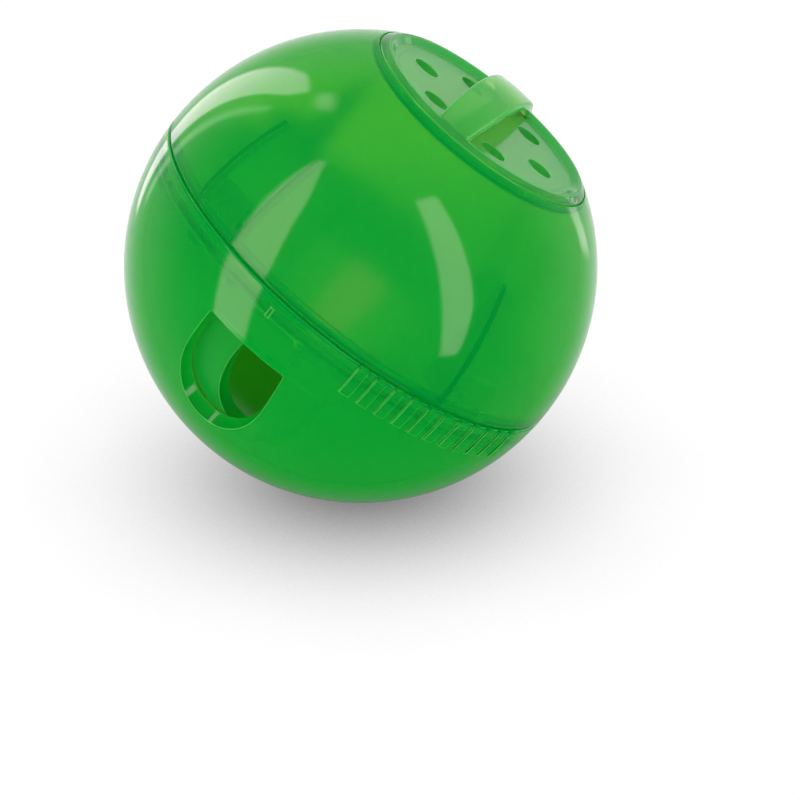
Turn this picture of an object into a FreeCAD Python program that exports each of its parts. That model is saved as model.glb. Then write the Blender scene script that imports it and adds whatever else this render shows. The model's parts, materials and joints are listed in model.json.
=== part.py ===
import FreeCAD, Part
import math
import os
from collections import namedtuple

from FreeCAD import Vector

# A treat ball of four moulded pieces: two half shells that meet at the equator, a cup
# with windows that turns inside the lower half, and a plug with a strap at the top.
# Lengths are in millimetres and angles in degrees. The origin is the ball's centre and
# +Z runs through the plug. An azimuth of 0 points along -Y and grows towards +X.

# Ball
ball_radius = 36.0
shell_wall = 2.1
edge_break = 0.25

# Seam at the equator
seam_gap = 0.3
flange_depth = 1.9
flange_width = 1.2
land_step = 0.7
land_height = 1.2

# Bearing between the lower shell and the cup
bearing_step = 0.4
bearing_clearance = 0.08
bearing_depth = 5.0
bead_depth = 3.6
bead_radius = 0.3
bead_clearance = 0.1

# Cup inside the lower shell
loose_clearance = 0.3
cup_gap = 0.4
cup_wall = 2.1

# Outlets in the lower shell and windows in the cup. Heights are measured from the
# middle, square to the wall. Both narrow towards the inside, most at the foot.
opening_width = 15.5
opening_latitude = -30.0
opening_count = 2
opening_corner = 0.5
side_taper = 14.0
foot_taper = 35.0
outlet_azimuth = -9.5
outlet_top = 9.4
outlet_shoulder = 2.0
outlet_bottom = 11.0
window_turn = 11.9
window_top = 7.7
window_shoulder = 5.5
window_bottom = 10.3

# Index marks that show the setting
mark_width = 0.6
mark_relief = 0.2
outlet_mark_top = 2.0
outlet_mark_length = 1.7
window_mark_top = 5.2
window_mark_length = 2.0

# Grip ribs below the seam
grip_first_azimuth = 16.0
grip_pitch = 5.13
grip_count = 11
grip_width = 1.7
grip_relief = 0.4
grip_bottom = 5.7

# Clips that hold the upper shell on the cup
clip_azimuths = (-36.9, 46.8, 143.1, 226.8)
tab_width = 8.0
tab_height = 5.6
tab_wall = 1.3
tab_root = 3.0
tab_corner = 1.5
catch_height = 2.4
catch_radius = 0.9
catch_stand_out = 0.4
catch_turn = -2.8

# Guide fins beside every second clip and one deep fin beside each of the others
fin_wall = 0.9
fin_clearance = 0.3
fin_depth = 1.1
fin_height = 16.3
deep_fin_depth = 6.5
deep_fin_height = 18.7

# Plug opening in the upper shell
plug_radius = 19.3
plug_gap = 0.25
plug_rim_depth = 1.4
ledge_width = 2.1
collar_depth = 1.0

# Plug with its dished floor
rim_width = 1.1
lip_width = 0.5
dish_slope = 1.1
dish_depth = 0.8
floor_wall = 1.6
skirt_wall = 1.3
vent_ring_radius = 11.4
vent_radius = 2.05
vent_count = 6
vent_turn = 30.0

# Strap across the plug
strap_azimuth = -8.0
strap_wall = 1.4
strap_middle_width = 6.9
strap_foot_width = 5.4
strap_rounding = 0.5

inner_radius = ball_radius - shell_wall
cup_outer_radius = inner_radius - cup_gap
cup_inner_radius = cup_outer_radius - cup_wall
bearing_radius = inner_radius - bearing_step
rebate_radius = bearing_radius + flange_width
land_radius = inner_radius - land_step
bearing_ring_radius = bearing_radius - bearing_clearance
tab_outer_radius = land_radius - loose_clearance
tab_inner_radius = tab_outer_radius - tab_wall
fin_offset = tab_width / 2 + fin_clearance + fin_wall / 2
fin_turn = math.degrees(math.asin(fin_offset / tab_inner_radius))
overcut = 3.0
cutter_depth = 9.0

collar_radius = plug_radius - ledge_width
lip_radius = plug_radius - rim_width
floor_radius = lip_radius - lip_width - dish_slope
plug_ledge = math.sqrt(ball_radius ** 2 - plug_radius ** 2) - plug_rim_depth
collar_bottom = plug_ledge - collar_depth
floor_top = math.sqrt(ball_radius ** 2 - lip_radius ** 2) - dish_depth

Opening = namedtuple("Opening", "surface_radius azimuth top shoulder bottom")
outlet = Opening(ball_radius, outlet_azimuth, outlet_top, outlet_shoulder, outlet_bottom)
window_azimuth = outlet_azimuth + window_turn
window = Opening(cup_outer_radius, window_azimuth, window_top, window_shoulder, window_bottom)


def height_on_sphere(radius, ring_radius):
    """Height above the equator of the circle of ring_radius on a sphere."""
    return math.sqrt(radius ** 2 - ring_radius ** 2)


def radial(azimuth, distance=1.0, height=0.0):
    """A point at an azimuth and a distance from the polar axis."""
    angle = math.radians(azimuth)
    return Vector(distance * math.sin(angle), -distance * math.cos(angle), height)


def profile_point(ring_radius, height):
    return Vector(ring_radius, 0, height)


def straight(start, end):
    return Part.LineSegment(profile_point(*start), profile_point(*end)).toShape()


def sphere_arc(radius, start, end):
    """Arc about the ball's centre between two profile points that lie on it."""
    first = math.atan2(start[1], start[0])
    last = math.atan2(end[1], end[0])
    middle = (first + last) / 2
    between = (radius * math.cos(middle), radius * math.sin(middle))
    points = [profile_point(*point) for point in (start, between, end)]
    return Part.Arc(*points).toShape()


def turned_solid(edges):
    """Solid made by turning a closed half profile about the polar axis."""
    face = Part.Face(Part.Wire(edges))
    return face.revolve(Vector(0, 0, 0), Vector(0, 0, 1), 360)


def chain(points):
    """Straight profile edges through a list of points."""
    return [straight(start, end) for start, end in zip(points, points[1:])]


def turned(shape, azimuth):
    """A copy of a shape turned about the polar axis from azimuth 0."""
    copy = shape.copy()
    copy.rotate(Vector(0, 0, 0), Vector(0, 0, 1), azimuth)
    return copy


def block(width, near, far, bottom, top):
    """A block at azimuth 0, from near to far of the polar axis."""
    return Part.makeBox(width, far - near, top - bottom, Vector(-width / 2, -far, bottom))


def ball_skin(outer, inner):
    """The space between two spheres about the ball's centre."""
    return Part.makeSphere(outer).cut(Part.makeSphere(inner))


def opening_outline(opening, depth):
    """Flat-topped outline with a half-elliptic foot, at a depth below the surface."""
    inset = depth * math.tan(math.radians(side_taper))
    half = opening_width / 2 - inset
    top = opening.top - inset
    bottom = opening.bottom - depth * math.tan(math.radians(foot_taper))
    corner_side = top - opening_corner
    corner_top = half - opening_corner
    bulge = opening_corner * (1 - math.sqrt(0.5))

    def point(x, z):
        return Vector(x, depth - opening.surface_radius, z)

    left = Part.LineSegment(point(-half, opening.shoulder), point(-half, corner_side))
    left_corner = Part.Arc(
        point(-half, corner_side), point(bulge - half, top - bulge), point(-corner_top, top)
    )
    upper = Part.LineSegment(point(-corner_top, top), point(corner_top, top))
    right_corner = Part.Arc(
        point(corner_top, top), point(half - bulge, top - bulge), point(half, corner_side)
    )
    right = Part.LineSegment(point(half, corner_side), point(half, opening.shoulder))
    ellipse = Part.Ellipse(point(0, -bottom), point(half, opening.shoulder), point(0, opening.shoulder))
    foot = Part.ArcOfEllipse(ellipse, -math.pi / 2, math.pi / 2)
    curves = (left, left_corner, upper, right_corner, right, foot)
    return Part.Wire(Part.__sortEdges__([curve.toShape() for curve in curves]))


def cut_openings(shell, opening):
    """Cut tapered openings through a wall, square to it at their middle."""
    near = opening_outline(opening, cutter_depth)
    far = opening_outline(opening, -overcut)
    cutter = Part.makeLoft([near, far], True, True)
    cutter.rotate(Vector(0, 0, 0), Vector(1, 0, 0), -opening_latitude)
    azimuths = repeat_azimuths(opening.azimuth, opening_count)
    return shell.cut([turned(cutter, azimuth) for azimuth in azimuths])


def repeat_azimuths(first, count):
    return [first + 360.0 / count * number for number in range(count)]


def raised_marks(opening, top, length):
    """Short upright lines that stand out of a spherical wall above its openings."""
    radius = opening.surface_radius
    bar = block(mark_width, radius / 2, ball_radius + overcut, -top - length, -top)
    mark = bar.common(ball_skin(radius + mark_relief, radius - shell_wall / 2))
    return [turned(mark, azimuth) for azimuth in repeat_azimuths(opening.azimuth, opening_count)]


def grip_ribs():
    """Two rows of upright ribs, one on each side of the ball."""
    skin = ball_skin(ball_radius + grip_relief, ball_radius - shell_wall / 2)
    bar = block(grip_width, ball_radius / 2, ball_radius + overcut, -grip_bottom, -seam_gap)
    rib = bar.common(skin)
    ribs = []
    for start in repeat_azimuths(grip_first_azimuth, opening_count):
        ribs += [turned(rib, start + grip_pitch * number) for number in range(grip_count)]
    return ribs


def lower_shell():
    rim = -seam_gap
    rim_radius = height_on_sphere(ball_radius, seam_gap)
    break_height = height_on_sphere(ball_radius, seam_gap + edge_break)
    seat = -flange_depth
    bearing_end = -height_on_sphere(inner_radius, bearing_radius)
    edges = [sphere_arc(ball_radius, (0, -ball_radius), (break_height, rim - edge_break))]
    edges += chain(
        [
            (break_height, rim - edge_break),
            (rim_radius - edge_break, rim),
            (rebate_radius, rim),
            (rebate_radius, seat),
            (bearing_radius, seat),
            (bearing_radius, bearing_end),
        ]
    )
    edges.append(sphere_arc(inner_radius, (bearing_radius, bearing_end), (0, -inner_radius)))
    edges.append(straight((0, -inner_radius), (0, -ball_radius)))
    shell = turned_solid(edges)
    groove = Part.makeTorus(bearing_radius, bead_radius + bead_clearance, Vector(0, 0, -bead_depth))
    shell = shell.cut(groove)
    marks = raised_marks(outlet, outlet_mark_top, outlet_mark_length)
    return cut_openings(shell.multiFuse(grip_ribs() + marks), outlet)


def is_top_side_edge(edge):
    """True for the two upper edges of a clip tab's block that get rounded."""
    middle = edge.CenterOfMass
    at_top = abs(middle.z - tab_height) < edge_break
    at_side = abs(abs(middle.x) - tab_width / 2) < edge_break
    return at_top and at_side


def clip_tab():
    """Tab at azimuth 0 that stands up from the cup, with a catch on its face."""
    sleeve = Part.makeCylinder(tab_outer_radius, tab_height + tab_root, Vector(0, 0, -tab_root))
    bore = Part.makeCylinder(tab_inner_radius, tab_height + tab_root, Vector(0, 0, -tab_root))
    plate = block(tab_width, ball_radius / 2, ball_radius, -tab_root, tab_height)
    top_edges = [edge for edge in plate.Edges if is_top_side_edge(edge)]
    plate = plate.makeFillet(tab_corner, top_edges)
    tab = plate.common(sleeve.cut(bore))
    catch_centre = radial(catch_turn, tab_outer_radius + catch_stand_out - catch_radius, catch_height)
    catch = Part.makeSphere(catch_radius, catch_centre)
    return tab.fuse(catch)


def shutter_cup():
    seat = -flange_depth
    flange_radius = rebate_radius - loose_clearance
    collar_end = -bearing_depth
    cup_start = height_on_sphere(cup_outer_radius, bearing_depth)
    edges = [sphere_arc(cup_outer_radius, (0, -cup_outer_radius), (cup_start, collar_end))]
    edges += chain(
        [
            (cup_start, collar_end),
            (bearing_ring_radius, collar_end),
            (bearing_ring_radius, seat),
            (flange_radius, seat),
            (flange_radius, 0),
            (cup_inner_radius, 0),
        ]
    )
    edges.append(sphere_arc(cup_inner_radius, (cup_inner_radius, 0), (0, -cup_inner_radius)))
    edges.append(straight((0, -cup_inner_radius), (0, -cup_outer_radius)))
    cup = turned_solid(edges)
    bead = Part.makeTorus(bearing_ring_radius, bead_radius, Vector(0, 0, -bead_depth))
    marks = raised_marks(window, window_mark_top, window_mark_length)
    tab = clip_tab()
    tabs = [turned(tab, azimuth) for azimuth in clip_azimuths]
    return cut_openings(cup.multiFuse([bead] + marks + tabs), window)


def guide_fin():
    """Slim upright fin at azimuth 0 that follows the upper shell's wall."""
    plate = block(fin_wall, ball_radius / 2, ball_radius, loose_clearance, fin_height)
    return plate.common(ball_skin(inner_radius + shell_wall / 2, inner_radius - fin_depth))


def deep_fin():
    """Upright fin at azimuth 0 whose inner edge leans out until it meets the wall."""
    tip = height_on_sphere(inner_radius, deep_fin_height) - edge_break
    outline = [
        (ball_radius, loose_clearance),
        (inner_radius - deep_fin_depth, loose_clearance),
        (tip, deep_fin_height),
        (ball_radius, deep_fin_height),
    ]
    corners = [Vector(-fin_wall / 2, -distance, height) for distance, height in outline]
    face = Part.Face(Part.makePolygon(corners + corners[:1]))
    return face.extrude(Vector(fin_wall, 0, 0)).common(Part.makeSphere(inner_radius + shell_wall / 2))


def clip_fins():
    """Guide fins along both sides of every second clip, one deep fin beside each of the others."""
    guide = guide_fin()
    deep = deep_fin()
    fins = []
    for azimuth in clip_azimuths[::2]:
        fins += [turned(guide, azimuth - fin_turn), turned(guide, azimuth + fin_turn)]
    for azimuth in clip_azimuths[1::2]:
        fins.append(turned(deep, azimuth - fin_turn))
    return fins


def upper_shell():
    break_height = height_on_sphere(ball_radius, edge_break)
    opening = plug_radius + plug_gap
    opening_top = height_on_sphere(ball_radius, opening)
    land_end = height_on_sphere(inner_radius, land_height)
    collar_start = height_on_sphere(inner_radius, collar_bottom)
    edges = [straight((ball_radius - edge_break, 0), (break_height, edge_break))]
    edges.append(sphere_arc(ball_radius, (break_height, edge_break), (opening, opening_top)))
    edges += chain(
        [
            (opening, opening_top),
            (opening, plug_ledge),
            (collar_radius, plug_ledge),
            (collar_radius, collar_bottom),
            (collar_start, collar_bottom),
        ]
    )
    edges.append(sphere_arc(inner_radius, (collar_start, collar_bottom), (land_end, land_height)))
    edges += chain(
        [
            (land_end, land_height),
            (land_radius, land_height),
            (land_radius, 0),
            (ball_radius - edge_break, 0),
        ]
    )
    shell = turned_solid(edges)
    slot = block(2 * fin_offset, land_radius / 2, land_end, -edge_break, land_height)
    slots = [turned(slot, azimuth) for azimuth in clip_azimuths]
    return shell.cut(slots).multiFuse(clip_fins())


def strap():
    """Arch that follows the ball's own surface, widest at its middle."""
    half_length = lip_radius
    foot = strap_foot_width / 2
    middle = strap_middle_width / 2
    front = Part.Arc(Vector(-foot, -half_length, 0), Vector(-middle, 0, 0), Vector(-foot, half_length, 0))
    back = Part.Arc(Vector(foot, half_length, 0), Vector(middle, 0, 0), Vector(foot, -half_length, 0))
    near = Part.LineSegment(Vector(foot, -half_length, 0), Vector(-foot, -half_length, 0))
    far = Part.LineSegment(Vector(-foot, half_length, 0), Vector(foot, half_length, 0))
    plan = Part.Wire([front.toShape(), far.toShape(), back.toShape(), near.toShape()])
    prism = Part.Face(plan).extrude(Vector(0, 0, ball_radius))
    prism.translate(Vector(0, 0, floor_top - floor_wall / 2))
    arch = prism.common(ball_skin(ball_radius, ball_radius - strap_wall))
    long_edges = [
        edge
        for edge in arch.Edges
        if edge.Length > lip_radius and abs(edge.CenterOfMass.x) > strap_foot_width / 4
    ]
    outer_edges = sorted(long_edges, key=lambda edge: edge.CenterOfMass.z)[-2:]
    return turned(arch.makeFillet(strap_rounding, outer_edges), strap_azimuth)


def vent_plug():
    top_radius = plug_radius - edge_break
    joint_top = height_on_sphere(ball_radius, top_radius)
    lip_top = height_on_sphere(ball_radius, lip_radius)
    skirt_outer = collar_radius - loose_clearance
    floor_bottom = floor_top - floor_wall
    edges = chain(
        [
            (0, floor_bottom),
            (skirt_outer - skirt_wall, floor_bottom),
            (skirt_outer - skirt_wall, collar_bottom),
            (skirt_outer, collar_bottom),
            (skirt_outer, plug_ledge),
            (plug_radius, plug_ledge),
            (plug_radius, joint_top - edge_break),
            (top_radius, joint_top),
        ]
    )
    edges.append(sphere_arc(ball_radius, (top_radius, joint_top), (lip_radius, lip_top)))
    edges += chain(
        [
            (lip_radius, lip_top),
            (lip_radius - lip_width, lip_top),
            (floor_radius, floor_top),
            (0, floor_top),
            (0, floor_bottom),
        ]
    )
    plug = turned_solid(edges).fuse(strap())
    vent_start = floor_bottom - floor_wall / 2
    vent_length = 2 * floor_wall
    vents = []
    for azimuth in repeat_azimuths(strap_azimuth + vent_turn, vent_count):
        centre = radial(azimuth, vent_ring_radius, vent_start)
        vents.append(Part.makeCylinder(vent_radius, vent_length, centre))
    return plug.cut(vents)


def save(name, shape):
    """Write one piece as its own file after joining faces that were split."""
    solid = shape.removeSplitter()
    assert solid.isValid() and len(solid.Solids) == 1, name
    solid.exportStep("parts/" + name + ".step")
    print(name, "solids", len(solid.Solids), "volume", round(solid.Volume, 1))


os.makedirs("parts", exist_ok=True)
save("lower_shell", lower_shell())
save("shutter_cup", shutter_cup())
save("upper_shell", upper_shell())
save("vent_plug", vent_plug())
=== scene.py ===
"""Dressed model of the slow feeder ball: finishes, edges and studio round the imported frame."""

from __future__ import annotations

import json
import logging
import math
from dataclasses import dataclass
from enum import Enum
from typing import Any

import bmesh
import bpy
from mathutils import Matrix, Vector
from mathutils.bvhtree import BVHTree

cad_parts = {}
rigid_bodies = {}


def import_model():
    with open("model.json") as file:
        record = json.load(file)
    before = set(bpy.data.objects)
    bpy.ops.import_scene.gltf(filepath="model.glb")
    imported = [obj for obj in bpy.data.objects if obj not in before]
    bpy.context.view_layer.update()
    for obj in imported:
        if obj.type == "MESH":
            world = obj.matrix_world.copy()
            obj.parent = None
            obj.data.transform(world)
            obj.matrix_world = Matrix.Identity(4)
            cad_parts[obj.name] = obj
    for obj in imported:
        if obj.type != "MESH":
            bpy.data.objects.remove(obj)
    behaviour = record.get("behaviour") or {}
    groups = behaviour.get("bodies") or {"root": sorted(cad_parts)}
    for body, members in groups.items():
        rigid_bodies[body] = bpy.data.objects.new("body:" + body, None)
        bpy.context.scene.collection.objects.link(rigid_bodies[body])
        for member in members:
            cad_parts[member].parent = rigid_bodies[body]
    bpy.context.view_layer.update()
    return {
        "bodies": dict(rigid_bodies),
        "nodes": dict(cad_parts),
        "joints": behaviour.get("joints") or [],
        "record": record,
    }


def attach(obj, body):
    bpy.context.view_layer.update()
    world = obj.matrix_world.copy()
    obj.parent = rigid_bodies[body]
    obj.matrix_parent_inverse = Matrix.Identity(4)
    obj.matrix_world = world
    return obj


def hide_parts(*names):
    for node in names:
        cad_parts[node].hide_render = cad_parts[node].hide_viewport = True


LOG = logging.getLogger("feeder_ball")
Colour = tuple[float, float, float]
Direction = tuple[float, float, float]
Span = tuple[float, float]
Node = bpy.types.Node
Socket = bpy.types.NodeSocket

CAMERA_PLACE = Vector((0.0, -0.61674, 0.19884))
CAMERA_RIGHT = Vector((0.77068, 0.18676, 0.60925))
CAMERA_UP = Vector((-0.63665, 0.26629, 0.72371))
CAMERA_AHEAD = Vector((0.02708, 0.94563, -0.32413))
BALL_AXIS = Vector((0.0, 0.0, 1.0))

BALL_RADIUS = 0.036
INNER_SKIN = 0.0015
SKIN_FADE = 0.0004
SURFACE_TOLERANCE = 4e-6
MERGE_DISTANCE = 1e-7
EDGE_SLOT = 1

FLOW_SCALE = 55.0
FLOW_DETAIL = 3.0
GRAIN_SCALE = 900.0
GRAIN_DETAIL = 2.0
GRAIN_SPREAD = 0.4
RIPPLE_HEIGHT = 0.001
BODY_SHADES: Span = (0.92, 1.04)
TINT_SHADES: Span = (0.94, 1.0)
NEAR_ZERO = 0.0001


@dataclass(frozen=True)
class Fade:
    """A level that goes smoothly from start to end while a value passes through a span."""

    span: Span
    start: float
    end: float


# Where on the ball a finish changes. Heights are from the seam, in metres.
STANDING = Fade((0.75, 0.95), 1.0, 0.0)
INSIDE = Fade((BALL_RADIUS - INNER_SKIN - SKIN_FADE, BALL_RADIUS - INNER_SKIN), 1.0, 0.0)
NEAR_SEAM = Fade((0.0006, 0.001), 1.0, 0.0)
OVER_BEARING_FOOT = Fade((-0.005, -0.0046), 0.0, 1.0)
UNDER_BEARING_TOP = Fade((0.0003, 0.0008), 1.0, 0.0)
UNDER_FIN_TIPS = Fade((0.019, 0.02), 1.0, 0.0)
ON_CLIPS = Fade((0.0012, 0.0016), 0.0, 1.0)

# How bright the surroundings are, by the part of a direction that points ahead of the camera or up.
ROOM_SWEEP = Fade((-0.15, 0.6), 0.12, 1.0)
ROOM_LIT = Fade((-1.0, 0.1), 0.1, 1.0)
RIM_LIGHT = Fade((0.65, 1.0), 0.0, 0.5)
SEEN_THROUGH = Fade((-0.3, 0.3), 0.95, 1.15)


def in_frame(direction: Direction) -> Vector:
    """Turn a direction given as right, up and towards the camera into the frame's own axes."""
    right, up, back = direction
    return (CAMERA_RIGHT * right + CAMERA_UP * up - CAMERA_AHEAD * back).normalized()


def shaded(colour: Colour, level: float) -> Colour:
    """Make a colour darker or lighter, up to full strength."""
    return tuple(min(1.0, level * part) for part in colour)


class Term:
    """A shader socket that can be used in Python sums, so that maths reads as maths."""

    def __init__(self, tree: ShaderTree, socket: Socket) -> None:
        """Keep the tree that new nodes go into and the socket that holds the value.

        Args:
            tree: the shader tree that owns the socket.
            socket: an output socket with one number.
        """
        self.tree = tree
        self.socket = socket

    def __add__(self, other: Any) -> Term:
        """Return the sum."""
        return self.tree.math("ADD", self, other)

    def __radd__(self, other: Any) -> Term:
        """Return the sum with this term on the right."""
        return self.tree.math("ADD", other, self)

    def __sub__(self, other: Any) -> Term:
        """Return the difference."""
        return self.tree.math("SUBTRACT", self, other)

    def __rsub__(self, other: Any) -> Term:
        """Return the difference with this term on the right."""
        return self.tree.math("SUBTRACT", other, self)

    def __mul__(self, other: Any) -> Term:
        """Return the product."""
        return self.tree.math("MULTIPLY", self, other)

    def __rmul__(self, other: Any) -> Term:
        """Return the product with this term on the right."""
        return self.tree.math("MULTIPLY", other, self)

    def __truediv__(self, other: Any) -> Term:
        """Return the quotient."""
        return self.tree.math("DIVIDE", self, other)

    def __rtruediv__(self, other: Any) -> Term:
        """Return the quotient with this term on the right."""
        return self.tree.math("DIVIDE", other, self)


class ShaderTree:
    """One node tree, with a single method that adds any node."""

    def __init__(self, tree: bpy.types.NodeTree) -> None:
        """Empty a node tree and keep it.

        Args:
            tree: the node tree of a material or a world.
        """
        self.nodes = tree.nodes
        self.links = tree.links
        self.nodes.clear()

    def node(self, kind: str, settings: dict[str, Any] | None = None, **values: Any) -> Node:
        """Add a node, set it up and feed its sockets.

        Args:
            kind: the node type's name.
            settings: attributes of the node, set before its sockets are fed.
            values: socket values or links by name, with _ for a space and a number for a
                socket that is known by its place, such as i0.

        Returns:
            The new node.
        """
        made = self.nodes.new(kind)
        for name, value in (settings or {}).items():
            setattr(made, name, value)
        for name, value in values.items():
            place = int(name[1:]) if name[1:].isdigit() else name.replace("_", " ")
            self.feed(made.inputs[place], value)
        return made

    def feed(self, socket: Socket, value: Any) -> None:
        """Link a value to an input socket, or set the socket where the value is plain.

        Args:
            socket: the input socket.
            value: a term, a socket, a number, a vector or a colour.
        """
        if isinstance(value, Term):
            self.links.new(value.socket, socket)
        elif isinstance(value, Socket):
            self.links.new(value, socket)
        elif isinstance(value, tuple) and len(value) == 3 and len(socket.default_value) == 4:
            socket.default_value = (*value, 1.0)
        else:
            socket.default_value = value

    def math(self, operation: str, *operands: Any) -> Term:
        """Add a Math node.

        Args:
            operation: Blender's name of the operation.
            operands: numbers or terms, in order.

        Returns:
            The result as a term.
        """
        inputs = {f"i{place}": operand for place, operand in enumerate(operands)}
        return Term(self, self.node("ShaderNodeMath", {"operation": operation}, **inputs).outputs[0])

    def vector(self, operation: str, *operands: Any) -> Any:
        """Add a Vector Math node.

        Args:
            operation: Blender's name of the operation.
            operands: vectors or sockets, in order.

        Returns:
            The node's outputs.
        """
        inputs = {
            f"i{place}": tuple(operand) if isinstance(operand, Vector) else operand
            for place, operand in enumerate(operands)
        }
        return self.node("ShaderNodeVectorMath", {"operation": operation}, **inputs).outputs

    def dot(self, first: Any, second: Any) -> Term:
        """Return the dot product of two vectors or sockets."""
        return Term(self, self.vector("DOT_PRODUCT", first, second)["Value"])

    def noise(self, place: Socket, scale: float, detail: float) -> Term:
        """Return a noise from 0 to 1 that follows a place."""
        node = self.node("ShaderNodeTexNoise", Vector=place, Scale=scale, Detail=detail)
        return Term(self, node.outputs["Fac"])

    def ramp(self, value: Any, fade: Fade) -> Term:
        """Take a value smoothly from one level to another.

        Args:
            value: the value to follow.
            fade: the span of the value and the levels at its two ends.

        Returns:
            The level.
        """
        low, high = fade.span
        node = self.node(
            "ShaderNodeMapRange",
            {"interpolation_type": "SMOOTHSTEP"},
            Value=value,
            From_Min=low,
            From_Max=high,
            To_Min=fade.start,
            To_Max=fade.end,
        )
        return Term(self, node.outputs[0])

    def grey(self, level: Any) -> Socket:
        """Return a grey colour socket of a level."""
        return self.node("ShaderNodeCombineColor", Red=level, Green=level, Blue=level).outputs[0]

    def blend(self, factor: Any, first: Any, second: Any) -> Socket:
        """Mix two colours.

        Args:
            factor: 0 gives the first colour and 1 the second.
            first: a colour or a colour socket.
            second: a colour or a colour socket.

        Returns:
            The mixed colour's socket.
        """
        mixed = self.node("ShaderNodeMix", {"data_type": "RGBA"}, i0=factor, i6=first, i7=second)
        return mixed.outputs[2]

    def mix(self, factor: Any, first: Node, second: Node) -> Node:
        """Mix two shaders.

        Args:
            factor: 0 gives the first shader and 1 the second.
            first: a shader node.
            second: a shader node.

        Returns:
            The Mix Shader node.
        """
        return self.node("ShaderNodeMixShader", i0=factor, i1=first.outputs[0], i2=second.outputs[0])


@dataclass(frozen=True)
class Zones:
    """Where a point lies on the ball, as sockets and terms that a finish follows.

    The place is in the piece's own axes and the height is above the seam. The others go from
    0 to 1: flow is a cloudy noise, inside leaves out the ball's skin, standing is for faces
    that stand on the round walls, such as fins, and seam is for a thin band at the seam.
    """

    place: Socket
    height: Term
    flow: Term
    inside: Term
    standing: Term
    seam: Term


@dataclass(frozen=True)
class Patch:
    """A part of a piece whose milky plastic takes another colour, and often more milk, such as the painted
    shade on the fins.
    """

    mask: Term
    body: Colour
    milk: float = 0.0


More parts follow.
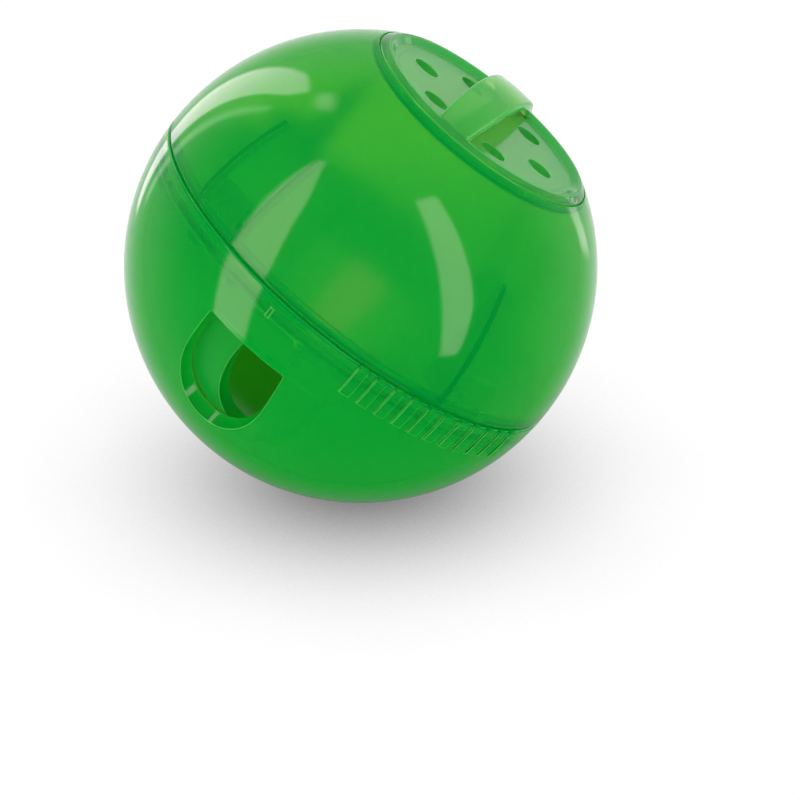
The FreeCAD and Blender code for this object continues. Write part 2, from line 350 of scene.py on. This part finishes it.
@dataclass(frozen=True)
class MouldedPlastic:
    """Tinted plastic from a mould: clear and polished outside, satin inside, slightly milky."""

    name: str
    tint: Colour
    depth_tint: Colour
    body: Colour
    sheet_milk: float
    wall_milk: float = 0.38
    satin: float = 0.22
    polish: float = 0.04
    refraction: float = 1.49
    ripple: float = 0.02
    density: float = 600.0
    glow: float = 0.4
    # Rounded edges get a paler, milkier body than the faces: a painted highlight along them.
    edge_body: Colour = (0.14, 0.97, 0.14)
    edge_milk: float = 0.7
    edge_fade: float = 0.75
    seam_body: Colour = (0.0, 0.5, 0.1)
    seam_milk: float = 0.45
    # Fins get a darker, milkier body: a painted shade for how dark thin walls look seen edge on.
    fin_body: Colour = (0.0, 0.34, 0.09)
    fin_milk: float = 0.0
    clip_body: Colour = (0.0, 0.55, 0.11)
    clip_milk: float = 0.0

    def find_zones(self, tree: ShaderTree) -> Zones:
        """Work out where a point lies on the ball.

        Args:
            tree: the material's shader tree.

        Returns:
            The zones.
        """
        spot = tree.node("ShaderNodeTexCoord").outputs
        place = spot["Object"]
        height = tree.dot(place, BALL_AXIS)
        reach = tree.vector("LENGTH", place)["Value"]
        facing = tree.dot(tree.vector("NORMALIZE", place)[0], spot["Normal"])
        return Zones(
            place=place,
            height=height,
            flow=tree.noise(place, FLOW_SCALE, FLOW_DETAIL),
            inside=tree.ramp(reach, INSIDE),
            standing=tree.ramp(tree.math("ABSOLUTE", facing), STANDING),
            seam=tree.ramp(tree.math("ABSOLUTE", height), NEAR_SEAM),
        )

    def find_patches(self, tree: ShaderTree, zones: Zones, edge: bool) -> list[Patch]:
        """List the parts whose milky plastic takes another colour: painted shade on the fins, a darker seam
        on the edges and a darker green on the clips.

        Args:
            tree: the material's shader tree.
            zones: where a point lies on the ball.
            edge: True for the rounded edges.

        Returns:
            The patches, each over those before it.
        """
        patches = []
        if self.fin_milk:
            # Painted shade on the fins: a darker, milkier patch.
            fin_shade_mask = zones.standing * zones.inside
            if edge:
                fin_shade_mask = fin_shade_mask * tree.ramp(zones.height, UNDER_FIN_TIPS)
            patches.append(Patch(fin_shade_mask, self.fin_body, self.fin_milk))
        if edge:
            patches.append(Patch(zones.seam, self.seam_body))
        elif self.clip_milk:
            patches.append(Patch(tree.ramp(zones.height, ON_CLIPS), self.clip_body, self.clip_milk))
        return patches

    def gloss(self, tree: ShaderTree, zones: Zones) -> Term:
        """Work out the roughness: polished on the ball's skin and satin inside it.

        Args:
            tree: the material's shader tree.
            zones: where a point lies on the ball.

        Returns:
            The roughness.
        """
        grain = tree.noise(zones.place, GRAIN_SCALE, GRAIN_DETAIL)
        level = zones.inside * (self.satin - self.polish) + self.polish
        return level * (grain * GRAIN_SPREAD + (1.0 - 0.5 * GRAIN_SPREAD))

    def edge_share(self, tree: ShaderTree, zones: Zones) -> Term:
        """Work out how milky the rounded edges are, which paints a pale highlight along them: less where
        the bearing runs by the seam.

        Args:
            tree: the material's shader tree.
            zones: where a point lies on the ball.

        Returns:
            The share of milky plastic.
        """
        bearing = tree.ramp(zones.height, OVER_BEARING_FOOT) * tree.ramp(zones.height, UNDER_BEARING_TOP)
        return self.edge_milk * (1.0 - self.edge_fade * zones.inside * bearing)

    def face_share(self, tree: ShaderTree, zones: Zones, patches: list[Patch]) -> Term:
        """Work out how milky the faces are.

        Args:
            tree: the material's shader tree.
            zones: where a point lies on the ball.
            patches: the parts that are milkier.

        Returns:
            The share of milky plastic.
        """
        share = zones.standing * (self.sheet_milk - self.wall_milk) + self.wall_milk
        for patch in patches:
            share = share + patch.mask * patch.milk
        return tree.math("MINIMUM", share + self.seam_milk * zones.seam * zones.standing, 1.0)

    def clear_plastic(self, tree: ShaderTree, zones: Zones, surface: dict[str, Any]) -> Node:
        """Build the clear share of the plastic.

        Args:
            tree: the material's shader tree.
            zones: where a point lies on the ball.
            surface: roughness, refraction and ripple.

        Returns:
            The shader node.
        """
        dark, light = (shaded(self.tint, level) for level in TINT_SHADES)
        tint = tree.blend(zones.flow, dark, light)
        return tree.node("ShaderNodeBsdfPrincipled", Base_Color=tint, Transmission_Weight=1.0, **surface)

    def milky_plastic(
        self, tree: ShaderTree, zones: Zones, patches: list[Patch], surface: dict[str, Any], body: Colour
    ) -> Node:
        """Build the milky share of the plastic, which also glows with the light behind it.

        Args:
            tree: the material's shader tree.
            zones: where a point lies on the ball.
            patches: the parts whose milky plastic takes another colour.
            surface: roughness, refraction and ripple.
            body: the colour everywhere else.

        Returns:
            The shader node.
        """
        dark, light = (shaded(body, level) for level in BODY_SHADES)
        middle = tuple(0.5 * (low + high) for low, high in zip(dark, light))
        cloud = tree.blend(zones.flow, dark, light)
        glow = tree.node("ShaderNodeBsdfTranslucent", Color=middle)
        for patch in patches:
            cloud = tree.blend(patch.mask, cloud, patch.body)
            glow = tree.mix(patch.mask, glow, tree.node("ShaderNodeBsdfTranslucent", Color=patch.body))
        milky = tree.node("ShaderNodeBsdfPrincipled", Base_Color=cloud, **surface)
        return tree.mix(self.glow, milky, glow)

    def make(self, edge: bool = False) -> bpy.types.Material:
        """Build the material.

        Args:
            edge: True for the rounded edges, whose paler, milkier finish is a painted highlight.

        Returns:
            The finished material.
        """
        material = bpy.data.materials.new(self.name + ("_edge" if edge else ""))
        material.use_nodes = True
        tree = ShaderTree(material.node_tree)
        zones = self.find_zones(tree)
        patches = self.find_patches(tree, zones, edge)
        bump = tree.node("ShaderNodeBump", Strength=self.ripple, Distance=RIPPLE_HEIGHT, Height=zones.flow)
        surface = {"Roughness": self.gloss(tree, zones), "IOR": self.refraction, "Normal": bump.outputs[0]}
        clear = self.clear_plastic(tree, zones, surface)
        milky = self.milky_plastic(tree, zones, patches, surface, self.edge_body if edge else self.body)
        share = self.edge_share(tree, zones) if edge else self.face_share(tree, zones, patches)
        mixed = tree.mix(share, clear, milky)
        depth = tree.node("ShaderNodeVolumeAbsorption", Color=self.depth_tint, Density=self.density)
        tree.node("ShaderNodeOutputMaterial", Surface=mixed.outputs[0], Volume=depth.outputs[0])
        return material


SHELL_TINT: Colour = (0.90, 1.0, 0.62)
SHELL_DEPTH_TINT: Colour = (0.58, 0.90, 0.12)
SHELL_BODY: Colour = (0.0, 1.0, 0.13)


class Finish(Enum):
    """The finishes of the ball's pieces."""

    LOWER = MouldedPlastic("lower_green", SHELL_TINT, SHELL_DEPTH_TINT, SHELL_BODY, sheet_milk=0.28)
    CUP = MouldedPlastic(
        "cup_green", SHELL_TINT, SHELL_DEPTH_TINT, SHELL_BODY, sheet_milk=0.28, clip_milk=0.4
    )
    # The upper shell's fins carry a painted shade.
    UPPER = MouldedPlastic(
        "upper_green", (0.95, 1.0, 0.55), (0.72, 0.90, 0.05), SHELL_BODY, sheet_milk=0.06, fin_milk=0.82
    )
    PLUG = MouldedPlastic(
        "plug_green", (0.95, 1.0, 0.7), (0.78, 0.92, 0.28), (0.13, 1.0, 0.22), sheet_milk=0.6, satin=0.18
    )


@dataclass
class Moulding:
    """One moulded piece: the frame's mesh with its sharp edges rounded as a mould leaves them."""

    node: str
    body: str
    slot: str
    finish: Finish
    edge_radius: float = 0.00011
    edge_steps: int = 2
    sharpest_smooth_deg: float = 20.0
    snap_groove: Span | None = None

    def copy_node(self, frame: dict[str, Any]) -> bpy.types.Object:
        """Copy the node's mesh and join its loose triangles.


        Returns:
            The copy.
        """
        bpy.ops.object.select_all(action="DESELECT")
        node = frame["nodes"][self.node]
        piece = node.copy()
        piece.data = node.data.copy()
        piece.name = f"{self.node}_moulding"
        bpy.context.scene.collection.objects.link(piece)
        piece.select_set(True)
        bpy.context.view_layer.objects.active = piece
        bpy.ops.object.mode_set(mode="EDIT")
        bpy.ops.mesh.select_all(action="SELECT")
        bpy.ops.mesh.remove_doubles(threshold=MERGE_DISTANCE)
        bpy.ops.mesh.customdata_custom_splitnormals_clear()
        bpy.ops.object.mode_set(mode="OBJECT")
        bpy.ops.object.shade_smooth()
        return piece

    def in_snap_groove(self, place: Vector) -> bool:
        """Tell whether a place lies in the small groove that the snap bead runs in.

        Args:
            place: a point in the piece's own axes.

        Returns:
            True in the groove, and False elsewhere or on a piece without one.
        """
        if self.snap_groove is None:
            return False
        low, high = self.snap_groove
        return low < place.z < high and place.length < BALL_RADIUS - INNER_SKIN

    def mark_sharp_edges(self, piece: bpy.types.Object) -> None:
        """Mark the sharp edges of the piece, apart from those in the snap groove.

        Args:
            piece: the copy that is still sharp.
        """
        work = bmesh.new()
        work.from_mesh(piece.data)
        weight = work.edges.layers.float.new("bevel_weight_edge")
        for edge in work.edges:
            sharp = edge.calc_face_angle(0.0) > math.radians(self.sharpest_smooth_deg)
            if sharp and not any(self.in_snap_groove(corner.co) for corner in edge.verts):
                edge[weight] = 1.0
        work.to_mesh(piece.data)
        work.free()

    def round_edges(self, piece: bpy.types.Object) -> None:
        """Round the marked edges of the piece and give them the finish's edge material.

        Args:
            piece: the copy with its sharp edges marked.
        """
        bevel = piece.modifiers.new("edge", "BEVEL")
        bevel.width = self.edge_radius
        bevel.segments = self.edge_steps
        bevel.limit_method = "WEIGHT"
        bevel.use_clamp_overlap = False
        bevel.material = EDGE_SLOT
        bpy.ops.object.modifier_apply(modifier=bevel.name)

    def keep_true_faces(self, piece: bpy.types.Object, node: bpy.types.Object) -> None:
        """Shade the piece as the node is shaded, apart from its rounded edges.

        Args:
            piece: the rounded copy.
            node: the frame's own object.
        """
        surface = BVHTree.FromPolygons(
            [vertex.co for vertex in node.data.vertices], [face.vertices for face in node.data.polygons]
        )
        group = piece.vertex_groups.new(name="true_face")
        kept = [v.index for v in piece.data.vertices if surface.find_nearest(v.co)[3] < SURFACE_TOLERANCE]
        group.add(kept, 1.0, "REPLACE")
        transfer = piece.modifiers.new("shading", "DATA_TRANSFER")
        transfer.object = node
        transfer.use_loop_data = True
        transfer.data_types_loops = {"CUSTOM_NORMAL"}
        transfer.loop_mapping = "POLYINTERP_NEAREST"
        transfer.vertex_group = group.name
        bpy.ops.object.modifier_apply(modifier=transfer.name)

    def dress(self, piece: bpy.types.Object) -> None:
        """Give the piece its two materials and its place in the frame.

        Args:
            piece: the copy that takes the node's place.
        """
        piece.data.materials.clear()
        for edge in (False, True):
            piece.data.materials.append(self.finish.value.make(edge))
        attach(piece, self.body)
        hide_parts(self.node)

    def build(self, frame: dict[str, Any]) -> bpy.types.Object:
        """Make the piece.


        Returns:
            The finished piece.
        """
        piece = self.copy_node(frame)
        self.dress(piece)
        self.mark_sharp_edges(piece)
        self.round_edges(piece)
        self.keep_true_faces(piece, frame["nodes"][self.node])
        return piece


@dataclass(frozen=True)
class SoftBox:
    """A soft box as the ball sees it: a patch of the surroundings with blurred edges."""

    name: str
    corners: tuple[Direction, ...]
    glow: Colour
    softness: float = 0.06

    def mask(self, tree: ShaderTree, gaze: Socket) -> Term:
        """Find how far a direction lies inside the box.

        Args:
            tree: the world's shader tree.
            gaze: socket with the direction that is looked along.

        Returns:
            1 inside the box and 0 outside it.
        """
        corners = [in_frame(corner) for corner in self.corners]
        middle = sum(corners, Vector())
        border = Fade((-0.5 * self.softness, 0.5 * self.softness), 0.0, 1.0)
        inside = None
        for first, second in zip(corners, corners[1:] + corners[:1]):
            inward = first.cross(second).normalized()
            if inward.dot(middle) < 0.0:
                inward.negate()
            side = tree.ramp(tree.dot(gaze, inward), border)
            inside = side if inside is None else side * inside
        return inside


SOFT_BOXES = (
    SoftBox(
        "left_strip",
        (
            (-0.93, -0.32, 0.18),
            (-0.79, -0.50, 0.36),
            (-0.75, -0.23, 0.62),
            (-0.63, 0.07, 0.77),
            (-0.40, 0.48, 0.78),
            (-0.25, 0.75, 0.62),
            (-0.31, 0.75, 0.58),
        ),
        (3.4, 2.5, 2.6),
    ),
    SoftBox(
        "right_strip",
        (
            (0.57, -0.66, 0.49),
            (0.67, -0.63, 0.40),
            (0.77, -0.45, 0.45),
            (0.82, -0.22, 0.52),
            (0.79, 0.05, 0.61),
            (0.57, 0.51, 0.65),
            (0.43, 0.48, 0.77),
        ),
        (3.4, 2.5, 2.8),
    ),
    SoftBox(
        "high_box",
        (
            (-0.53, 0.15, -0.83),
            (-0.55, 0.25, -0.80),
            (-0.56, 0.49, -0.67),
            (-0.55, 0.63, -0.56),
            (-0.49, 0.80, -0.36),
            (-0.40, 0.90, -0.16),
            (-0.28, 0.95, -0.10),
            (-0.25, 0.91, -0.32),
            (-0.33, 0.60, -0.73),
            (-0.35, 0.41, -0.84),
            (-0.44, 0.15, -0.89),
        ),
        (3.4, 2.6, 3.2),
        0.05,
    ),
    SoftBox(
        "high_echo",
        (
            (-0.60, 0.22, -0.77),
            (-0.61, 0.37, -0.70),
            (-0.48, 0.87, -0.11),
            (-0.56, 0.84, -0.07),
            (-0.68, 0.34, -0.66),
            (-0.66, 0.20, -0.73),
        ),
        (1.6, 1.6, 1.5),
        0.07,
    ),
    SoftBox(
        "right_streak",
        ((0.77, 0.25, -0.59), (0.67, 0.22, -0.71), (0.55, 0.06, -0.83), (0.69, 0.07, -0.72)),
        (2.4, 2.0, 2.2),
    ),
    SoftBox(
        "small_lamp",
        (
            (-0.24, 0.97, -0.05),
            (-0.16, 0.99, -0.02),
            (-0.14, 0.98, 0.10),
            (-0.18, 0.96, 0.19),
            (-0.28, 0.95, 0.10),
        ),
        (2.4, 1.8, 2.0),
        0.1,
    ),
)


@dataclass
class Studio:
    """White sweep, soft boxes and camera round the ball."""

    sensor_width: float = 36.0
    lens: float = 191.565
    clip_range: Span = (0.01, 20.0)
    floor_size: float = 6.0
    floor_tilt_deg: float = 28.0
    # The floor's glow carries a painted contact shadow from ambient occlusion; the shade fields paint the
    # ball's shade behind it, seen only through the ball.
    floor_open_reach: float = 0.3
    floor_samples: int = 8
    floor_base: float = 0.14
    floor_gain: float = 1.1
    floor_most: float = 1.02
    shade_behind: float = 0.055
    shade_reach: Span = (0.04, 0.09)
    shade_depth: float = 0.75
    mirror_gain: float = 0.5
    rim_least: float = 0.25
    light_on_milk: Colour = (1.2, 1.2, 1.2)
    light_elsewhere: Colour = (1.04, 1.04, 1.04)
    boxes: tuple[SoftBox, ...] = SOFT_BOXES

    def make_camera(self) -> None:
        """Put the camera at the photograph's viewing angle."""
        data = bpy.data.cameras.new("camera")
        data.sensor_width = self.sensor_width
        data.lens = self.lens
        data.clip_start, data.clip_end = self.clip_range
        camera = bpy.data.objects.new("camera", data)
        turn = Matrix((CAMERA_RIGHT, CAMERA_UP, -CAMERA_AHEAD)).transposed()
        camera.matrix_world = Matrix.Translation(CAMERA_PLACE) @ turn.to_4x4()
        bpy.context.scene.collection.objects.link(camera)
        bpy.context.scene.camera = camera

    def floor_normal(self) -> Vector:
        """Return the floor's upward direction, square to the picture's level line."""
        tilt = math.radians(self.floor_tilt_deg)
        return CAMERA_UP * math.cos(tilt) - CAMERA_AHEAD * math.sin(tilt)

    def ball_shade(self, tree: ShaderTree) -> Term:
        """Work out the ball's own shade on the floor behind it, which shows through the ball.

        Args:
            tree: the floor's shader tree.

        Returns:
            The share of light that is left.
        """
        normal = self.floor_normal()
        behind = (CAMERA_AHEAD - normal * CAMERA_AHEAD.dot(normal)).normalized()
        middle = behind * self.shade_behind - normal * BALL_RADIUS
        place = tree.node("ShaderNodeTexCoord").outputs["Object"]
        away = tree.vector("DISTANCE", place, middle)["Value"]
        shade = tree.ramp(away, Fade(self.shade_reach, self.shade_depth, 0.0))
        through = Term(tree, tree.node("ShaderNodeLightPath").outputs["Is Transmission Ray"])
        return 1.0 - shade * through

    def make_floor(self) -> bpy.types.Object:
        """Lay a pale floor under the ball, seen from above only, that glows with a painted contact shadow
        and a painted shade of the ball behind it.

        Returns:
            The floor.
        """
        normal = self.floor_normal()
        bpy.ops.mesh.primitive_plane_add(size=self.floor_size)
        floor = bpy.context.object
        floor.name = "floor"
        turn = normal.to_track_quat("Z", "Y").to_matrix().to_4x4()
        floor.data.transform(Matrix.Translation(-normal * BALL_RADIUS) @ turn)
        material = bpy.data.materials.new("floor_painted_shadow")
        material.use_nodes = True
        tree = ShaderTree(material.node_tree)
        # Painted contact shadow: the floor's glow dims where ambient occlusion is low.
        openness = tree.node(
            "ShaderNodeAmbientOcclusion", {"samples": self.floor_samples}, Distance=self.floor_open_reach
        )
        level = Term(tree, openness.outputs["AO"]) * self.floor_gain + self.floor_base
        level = tree.math("MINIMUM", level, self.floor_most) * self.ball_shade(tree)
        pale = tree.node("ShaderNodeEmission", Color=tree.grey(level), Strength=1.0)
        clear = tree.node("ShaderNodeBsdfTransparent")
        under = tree.node("ShaderNodeNewGeometry").outputs["Backfacing"]
        mixed = tree.mix(under, pale, clear)
        tree.node("ShaderNodeOutputMaterial", Surface=mixed.outputs[0])
        floor.data.materials.append(material)
        floor.visible_glossy = False
        return floor

    def mirror_colour(self, tree: ShaderTree, gaze: Socket) -> Socket:
        """Work out what the ball's skin mirrors: dark in front, pale behind, with the boxes.

        Args:
            tree: the world's shader tree.
            gaze: socket with the direction that is looked along.

        Returns:
            The colour's socket.
        """
        ahead = tree.dot(gaze, CAMERA_AHEAD)
        across = tree.dot(gaze, CAMERA_RIGHT)
        rise = tree.dot(gaze, CAMERA_UP)
        spread = tree.math("SQRT", across * across + rise * rise + NEAR_ZERO)
        lit = tree.ramp(rise / spread, ROOM_LIT)
        room = self.mirror_gain * tree.ramp(ahead, ROOM_SWEEP) * lit
        rim = tree.ramp(ahead, RIM_LIGHT) * (lit * (1.0 - self.rim_least) + self.rim_least)
        colour = tree.grey(room + rim)
        for box in self.boxes:
            colour = tree.blend(box.mask(tree, gaze), colour, box.glow)
        return colour

    def light_world(self) -> None:
        """Light the ball evenly from all sides and show its skin the soft boxes."""
        world = bpy.data.worlds.new("studio")
        bpy.context.scene.world = world
        world.use_nodes = True
        tree = ShaderTree(world.node_tree)
        path = tree.node("ShaderNodeLightPath").outputs
        gaze = tree.node("ShaderNodeTexCoord").outputs["Generated"]
        through = tree.ramp(tree.dot(gaze, CAMERA_AHEAD), SEEN_THROUGH)
        soft = tree.blend(path["Is Diffuse Ray"], self.light_elsewhere, self.light_on_milk)
        even = tree.blend(path["Is Transmission Ray"], soft, tree.grey(through))
        colour = tree.blend(path["Is Glossy Ray"], even, self.mirror_colour(tree, gaze))
        backdrop = tree.node("ShaderNodeBackground", Color=colour)
        tree.node("ShaderNodeOutputWorld", Surface=backdrop.outputs[0])

    def set_up(self) -> None:
        """Build the whole studio."""
        self.make_camera()
        self.make_floor()
        self.light_world()


def main() -> None:
    """Build the ball's pieces in order, then the studio."""
    logging.basicConfig(level=logging.INFO, format="%(name)s: %(message)s")
    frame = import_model()
    mouldings = [
        Moulding("lower_shell", "lower_half", "shell_plastic", Finish.LOWER, snap_groove=(-0.0042, -0.003)),
        Moulding("shutter_cup", "cup", "cup_plastic", Finish.CUP),
        Moulding("upper_shell", "upper_half", "shell_plastic", Finish.UPPER),
        Moulding("vent_plug", "plug", "plug_plastic", Finish.PLUG),
    ]
    for moulding in mouldings:
        piece = moulding.build(frame)
        LOG.info("%s built, %d faces", piece.name, len(piece.data.polygons))
    Studio().set_up()
    bpy.context.scene.view_settings.view_transform = "Standard"


if __name__ == "__main__":
    main()
